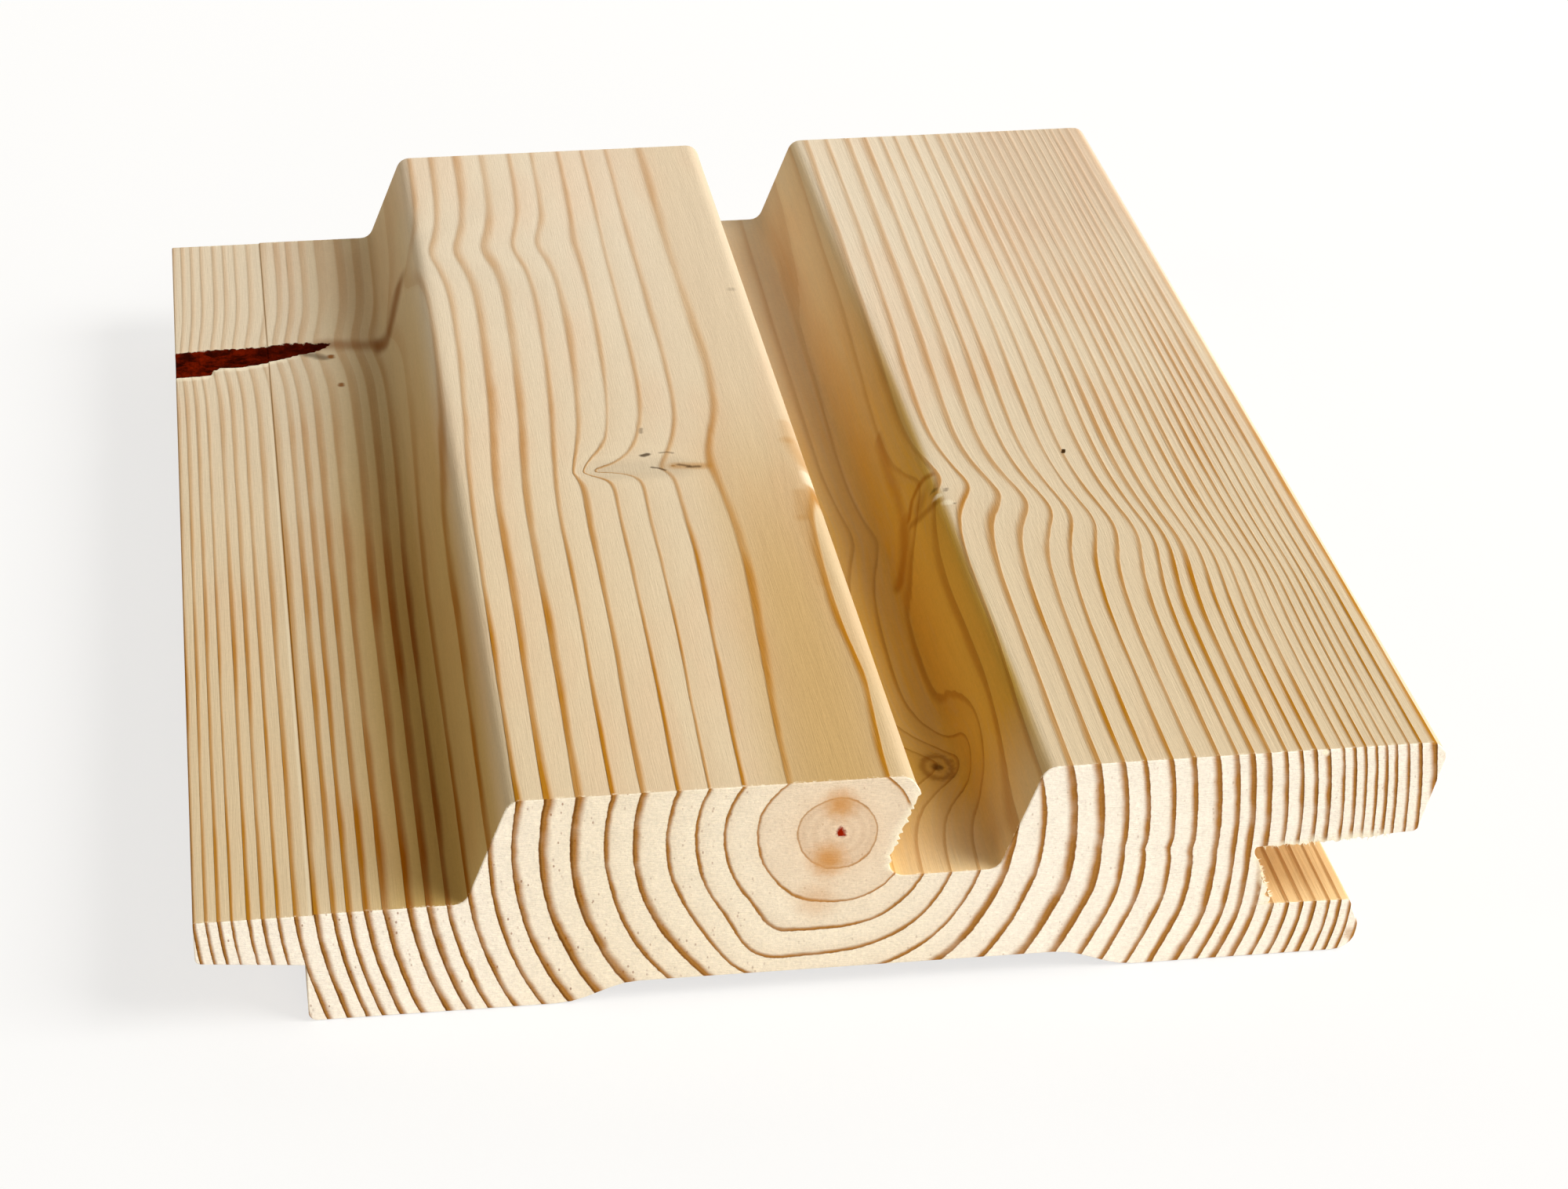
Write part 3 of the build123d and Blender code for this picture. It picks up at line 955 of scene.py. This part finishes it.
def sawn_ends(f, tints, w):
    """Colour of the sawn ends: latewood bands that are sharp on their outer side, dashes left by the
    saw, resin canals, the reddish wood, stains and dark star of the pith, and dirt along the back."""
    tan = f.eased(w.x, 25, 48) * (1 - f.eased(w.x, 78, 100))
    base = f.mix(tan, tints.end_early, tints.end_tan)
    base = f.mix(w.phase ** 3 * f.eased(w.ring, 2, 12, 0.26, 0.14), base, tints.end_late)
    base = f.mix(w.band, base, tints.end_late)
    dark = f.eased(w.x, 35, 75, 0.85, 0.4).most(f.eased(w.x, 118, 130, 0.0, 0.75))
    base = f.mix(w.edge * dark, base, tints.end_edge)
    base = f.shade(base, 1 + w.mottle * 0.16 + w.dash * 0.4 + w.grit * 0.4)
    far, own = f.cells(f.point(w.x * 1.5, w.y, w.z * 0.95))
    canal = (1 - f.eased(far, 0.11, 0.24)) * f.eased(own, 0.28, 0.36) * f.eased(w.phase, 0.1, 0.4)
    canal = canal * f.eased(w.patchy + w.rough * 0.3, -0.1, 0.1) * f.eased(w.x, 40, 75, 1.0, 0.45)
    base = f.mix(canal * 0.7, base, tints.knot)
    away_x = w.x - PITH[0]
    away_z = w.z - PITH[1]
    off_pith = (away_x * away_x + away_z * away_z).root()
    from_pith = off_pith + w.mottle * 2.0
    base = f.mix(f.eased(from_pith, 1.0, 14.0, 0.36, 0.0), base, tints.pith_tint)
    arcs = (w.ring * 23.0 + w.rough * 2.0).wave() * 0.5 + 0.5
    base = f.mix(arcs * (1 - f.eased(w.ring, 0.75, 1.0)) * 0.14, base, tints.end_late)
    for place, reach, share in PITH_STAINS:
        stain = f.stroke(w.x, w.z, [place]) + w.rough * 1.6
        base = f.mix(f.eased(stain, 0.1, reach, share, 0.0), base, tints.pith_tint)
    stain = f.stroke(w.x, w.z, [(135.8, 2.1)]) + w.rough
    base = f.mix(f.eased(stain, 0.2, 1.3, 0.5, 0.0), base, tints.late)
    chip = f.stroke(w.x, w.z, [(131.5, 26.6)]) + w.rough * 0.8
    base = f.mix(f.eased(chip, 0.2, 0.6, 0.9, 0.0), base, tints.torn)
    star = off_pith + w.rough * 1.6
    base = f.mix(1 - f.eased(star, 0.4, 0.8), base, tints.pith)
    far, own = f.cells(f.point(w.x * 0.45, w.y, w.z * 0.9))
    dirt = (1 - f.eased(far, 0.12, 0.3)) * f.eased(own, 0.6, 0.7) * (1 - f.eased(w.z, 0.3, 1.0))
    return f.mix(dirt * 0.6, base, tints.check)


def mark_zone(face, places):
    """The zone whose material shows a flaw. The knot at the groove's edge reaches over both faces there."""
    if face in ("flange", "slope 1"):
        return "flange"
    edge = face == "top" and 95 < places[0][0] < 103
    return "groove" if edge or face in ("floor", "slope 2") else "top"


def flaws(f, tints, w, base, zone):
    """The measured marks of one zone of the planed faces, each a soft band along a broken line, and in
    the groove the loops of the knot in its floor."""
    x = w.x + w.rough * 0.5
    y = w.y + w.mottle * 0.8
    z = w.z + w.rough * 0.5
    first = f.eased(w.x, 29, 30) * (1 - f.eased(w.x, 37, 38))
    second = f.eased(w.x, 91, 92.5)
    level = 1 - f.eased(w.z, 14.3, 15.0)
    faces = {
        "top": (x, y, f.eased(w.z, 25.0, 26.2)),
        "flange": (x, y, level * (1 - f.eased(w.x, 30, 32))),
        "floor": (x, y, level * f.eased(w.x, 80, 82)),
        "slope 1": (y, z, first),
        "slope 2": (y, z, second * (1 - f.eased(w.x, 99, 100)) * f.eased(w.z, 14, 14.6)),
    }
    for face, places, half, soft, tint, most in MARKS:
        if mark_zone(face, places) == zone:
            a, b, mask = faces[face]
            share = f.eased(f.stroke(a, b, places), half, half + soft, most, 0.0)
            base = f.mix(share * mask, base, getattr(tints, tint))
    if zone == "groove":
        across = (x - EYE[0]) / EYE[2]
        along = (y - EYE[1]) / EYE[3]
        out = (across * across + along * along).root() + w.rough * 0.35
        loops = (out * 12.0).wave() * 0.5 + 0.5
        eye = f.eased(out, 0.75, 1.1, 1.0, 0.0) * faces["floor"][2]
        base = f.mix(eye * (0.15 + loops * 0.4), base, tints.knot)
        base = f.mix(f.eased(out, 0.05, 0.3, 0.6, 0.0) * faces["floor"][2], base, tints.check)
    return base


def bark_pocket(f, tints, w, base):
    """The bark caught in the flange and the pale torn wood along its lower edge. Also returns where the
    bark shows."""
    inside = f.eased(w.pocket + w.rough * 1.1, -0.05, 0.2)
    below = 1 - f.eased(w.y - w.x * 0.2, 164.5, 166.5)
    halo = f.eased(w.pocket + w.rough * 1.6, -2.0, -0.3) * (1 - inside) * below * (1 - f.eased(w.x, 15, 20))
    base = f.mix(halo * 0.7, base, tints.torn)
    flecks = f.noise(f.point(w.x * 0.4, w.y * 0.55, w.z * 0.5), 4, 0.65)
    red = f.eased(flecks, -0.15, 0.17) * f.eased(w.x, 4, 20, 1.0, 0.35)
    bark = f.shade(f.mix(red, tints.bark, tints.bark_red), 1 + w.rough * 0.8)
    return f.mix(inside, base, bark), inside


def softwood(tints, zone):
    """The board's wood on one zone of its surface: planed faces with the zone's flaws, or sawn ends. All
    zones read the same growth rings."""
    f = Finish(bpy.data.materials.new("softwood " + zone))
    w = wood_values(f)
    if zone == "sawn":
        base = sawn_ends(f, tints, w)
        roughness = 0.72 + w.streak * 0.12
        height = w.dash * 1.6 + w.grit * 0.9 - w.band * 0.3
    else:
        base = flaws(f, tints, w, planed_faces(f, tints, w), zone)
        roughness = 0.6 + w.streak * 0.12 - w.line * 0.08
        height = w.line * 0.5 + w.streak * 0.5 + w.fibre * 0.35
    if zone == "flange":
        base, inside = bark_pocket(f, tints, w, base)
        roughness = roughness + inside * 0.1
        height = height + inside * w.rough * 2.0
    base = f.mix(w.torn * 0.75, base, tints.torn)
    height = height + w.torn * w.rough * 3.0
    return f.close(base, roughness, height, WOOD_BUMP)


def line_gap(a, b, places):
    """The distance of points a and b to a broken line through places."""
    nearest = np.full(len(a), np.inf)
    for start, end in zip(places, places[1:] or places):
        run = np.array(end) - np.array(start)
        reach = max(run @ run, 1e-9)
        share = np.clip(((a - start[0]) * run[0] + (b - start[1]) * run[1]) / reach, 0, 1)
        gap = np.hypot(a - start[0] - share * run[0], b - start[1] - share * run[1])
        nearest = np.minimum(nearest, gap)
    return nearest


def face_zones(x, y, z, sawn):
    """The zone of each face of the board from its middle: sawn, close to a flaw, or plain."""
    sides = {
        "top": z > 24.5,
        "flange": (z < 17) & (x < 34) & (z > 12),
        "floor": (z < 17) & (z > 12) & (x > 79) & (x < 95),
        "slope 1": (x > 28) & (x < 39) & (z > 13),
        "slope 2": (x > 90) & (x < 101) & (z > 13.5),
    }
    zone = np.zeros(len(x), np.int32)
    for face, places, half, soft, _, _ in MARKS:
        a, b = (y, z) if face.startswith("slope") else (x, y)
        near = line_gap(a, b, places) < half + soft + 3
        zone[near & sides[face]] = ZONES.index(mark_zone(face, places))
    eye = np.hypot(x - EYE[0], y - EYE[1]) < 2 * EYE[3]
    zone[eye & sides["floor"]] = ZONES.index("groove")
    pocket = (pocket_depth(x, y) > -5) & (x < 26) & (z > 10)
    zone[pocket] = ZONES.index("flange")
    zone[sawn] = ZONES.index("sawn")
    return zone


def torn_wood(tints):
    """Pale fibres pulled out of the wood by the saw, darker towards their roots."""
    f = Finish(bpy.data.materials.new("torn fibres"))
    x, y, z = f.place()
    tip = f.reading("tip")
    twist = f.noise(f.point(x * 4, y * 4, z * 4), 3)
    base = f.mix(f.eased(tip, 0.0, 0.6, 0.75, 1.0), tints.early, tints.torn)
    base = f.shade(base, 1 + twist * 0.2)
    return f.close(base, 0.65 + twist * 0.2, twist, FIBRE_BUMP)


def read_vectors(items, name):
    """A vector of each vertex or face of a mesh, as an array."""
    values = np.empty(len(items) * 3)
    items.foreach_get(name, values)
    return values.reshape(-1, 3)


class CLADDING_OT_board(bpy.types.Operator):
    """Make the grained board"""

    bl_idname = "cladding.board"
    bl_label = "Board"
    bl_options = {"REGISTER", "UNDO"}

    def execute(self, context):
        points, faces, torn = board_surface(context.scene.cladding_section)
        materials = [softwood(context.scene.cladding_colours, zone) for zone in ZONES]
        piece = add_piece(context, "grained_board", to_frame(points), faces, materials, {"torn": torn})
        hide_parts(NODE)
        self.store_rings(piece.data)
        self.assign_zones(piece.data)
        return {"FINISHED"}

    def store_rings(self, mesh):
        """Stores each point's ring number, the latewood's share of its ring and its depth in the pocket."""
        x, y, z = to_wood(read_vectors(mesh.vertices, "co")).T
        number, widths = ring_number(x, y, z)
        thickness = np.interp(number, np.arange(len(LATEWOOD)), LATEWOOD)
        write_numbers(mesh, "ring", number)
        write_numbers(mesh, "late_share", np.clip(thickness / widths, 0.03, 0.4))
        write_numbers(mesh, "pocket", np.where((x < 25) & (z > 12), pocket_depth(x, y), -20))

    def assign_zones(self, mesh):
        """Gives each face the material of its zone."""
        x, y, z = to_wood(read_vectors(mesh.polygons, "center")).T
        ends = np.minimum(y, BOARD_SPAN - y) < SAWN_DEPTH
        sawn = (np.abs(read_vectors(mesh.polygons, "normal")[:, 1]) > 0.4) & ends
        mesh.polygons.foreach_set("material_index", face_zones(x, y, z, sawn))


class CLADDING_OT_fibres(bpy.types.Operator):
    """Make the fibres torn at the sawn ends"""

    bl_idname = "cladding.fibres"
    bl_label = "Torn fibres"
    bl_options = {"REGISTER", "UNDO"}

    def execute(self, context):
        rng = np.random.default_rng(FIBRE_SEED)
        roots, ways, lengths, girths = fibre_roots(rng, BOARD_SPAN)
        curls = rng.normal(0, 0.35, (len(roots), 3)) * np.array([1.0, 0.0, 1.0])
        grids, tips = strands(roots, ways, lengths, girths, curls)
        each = grid_faces(STRAND_STATIONS, STRAND_SIDES)
        starts = np.arange(len(roots)) * STRAND_STATIONS * STRAND_SIDES
        faces = (each[None] + starts[:, None, None]).reshape(-1, 4).tolist()
        materials = [torn_wood(context.scene.cladding_colours)]
        points = to_frame(grids.reshape(-1, 3))
        add_piece(context, "torn_fibres", points, faces, materials, {"tip": tips.ravel()})
        return {"FINISHED"}


class CLADDING_OT_stage(bpy.types.Operator):
    """Set the floor, the lamps and the camera"""

    bl_idname = "cladding.stage"
    bl_label = "Stage"
    bl_options = {"REGISTER", "UNDO"}

    def execute(self, context):
        studio = context.scene.cladding_studio
        self.floor(context, studio)
        self.lamps(context, studio)
        self.camera(context, studio)
        context.scene.view_settings.view_transform = "Standard"
        return {"FINISHED"}

    def floor(self, context, studio):
        """A wide level sheet that shows white to the camera where it is lit, and keeps the shadow."""
        f = Finish(bpy.data.materials.new("pale floor"))
        matt = f.add("ShaderNodeBsdfDiffuse", None, {"Color": (*studio.floor, 1.0)})
        glow = f.add("ShaderNodeEmission", None, {"Color": WHITE, "Strength": 1.0})
        f.show(f.shown(FLOOR_SEEN, matt, glow))
        reach = np.linspace(-FLOOR_REACH, FLOOR_REACH, FLOOR_LINES)
        across, along = np.meshgrid(reach, reach)
        points = np.stack([across, along, np.full_like(across, -FLOOR_GAP)], -1).reshape(-1, 3)
        index = np.arange(len(points)).reshape(across.shape)
        faces = np.stack([index[:-1, :-1], index[:-1, 1:], index[1:, 1:], index[1:, :-1]], -1)
        mesh = bpy.data.meshes.new("floor")
        mesh.from_pydata(points, [], faces.reshape(-1, 4))
        mesh.materials.append(f.owner)
        sheet = bpy.data.objects.new("floor", mesh)
        context.scene.collection.objects.link(sheet)

    def lamps(self, context, studio):
        """A key and a low lamp on the slotted side, a wide lamp before the sawn end, a warm fill on the
        tongue's side, a lamp behind, and an even room that shows white."""
        for name, shape in LAMPS.items():
            self.lamp(context, name, getattr(studio, name), *shape)
        f = Finish(bpy.data.worlds.new("room"), "ShaderNodeOutputWorld")
        room = f.add("ShaderNodeBackground", None, {"Color": ROOM_TINT, "Strength": studio.ambient})
        white = f.add("ShaderNodeBackground", None, {"Color": WHITE, "Strength": 1.0})
        context.scene.world = f.show(f.shown(1.0, room, white))

    def lamp(self, context, name, power, way, reach, spread, tint):
        """A rectangular lamp that faces the board's middle."""
        data = bpy.data.lights.new(name, "AREA")
        data.shape = "RECTANGLE"
        data.size, data.size_y = spread
        data.energy = power
        data.color = tint
        lamp = bpy.data.objects.new(name, data)
        place = np.array(way) / np.linalg.norm(way) * reach
        lamp.location = place + np.array([0, 0, LAMP_AIM])
        heading = math.atan2(place[1], place[0]) + math.pi / 2
        lamp.rotation_euler = (math.acos(place[2] / reach), 0, heading)
        context.scene.collection.objects.link(lamp)

    def camera(self, context, studio):
        """The camera that the photograph was taken with, as solved from the board's corners."""
        data = bpy.data.cameras.new("camera")
        data.sensor_fit = "HORIZONTAL"
        data.sensor_width = 36.0
        data.lens = studio.view_length * data.sensor_width / IMAGE_WIDTH
        data.clip_start = 0.01
        data.clip_end = 20.0
        camera = bpy.data.objects.new("camera", data)
        camera.location = studio.camera_place
        camera.rotation_euler = studio.camera_turn
        context.scene.collection.objects.link(camera)
        context.scene.camera = camera


class CLADDING_PT_panel(bpy.types.Panel):
    """Lists the board's pieces and sizes"""

    bl_idname = "CLADDING_PT_panel"
    bl_label = "Cladding board"
    bl_space_type = "VIEW_3D"
    bl_region_type = "UI"
    bl_category = "Cladding"

    def draw(self, context):
        layout = self.layout
        for operator in OPERATORS:
            layout.operator(operator.bl_idname)
        for label in GROUPS:
            group = getattr(context.scene, label)
            box = layout.box()
            for name in group.bl_rna.properties.keys():
                if name not in {"rna_type", "name"}:
                    box.prop(group, name)


GROUPS = {
    "cladding_section": BoardSection,
    "cladding_colours": WoodColours,
    "cladding_studio": StudioSettings,
}
OPERATORS = (CLADDING_OT_board, CLADDING_OT_fibres, CLADDING_OT_stage)
CLASSES = (*GROUPS.values(), *OPERATORS, CLADDING_PT_panel)


def register():
    """Adds the classes, and the groups of settings to the scene."""
    for each in CLASSES:
        bpy.utils.register_class(each)
    for name, group in GROUPS.items():
        setattr(bpy.types.Scene, name, bpy.props.PointerProperty(type=group))


def unregister():
    """Takes away what register added."""
    for name in GROUPS:
        delattr(bpy.types.Scene, name)
    for each in reversed(CLASSES):
        bpy.utils.unregister_class(each)


def main():
    """Makes every piece and the stage."""
    register()
    bpy.ops.cladding.board()
    bpy.ops.cladding.fibres()
    bpy.ops.cladding.stage()


if __name__ == "__main__":
    main()
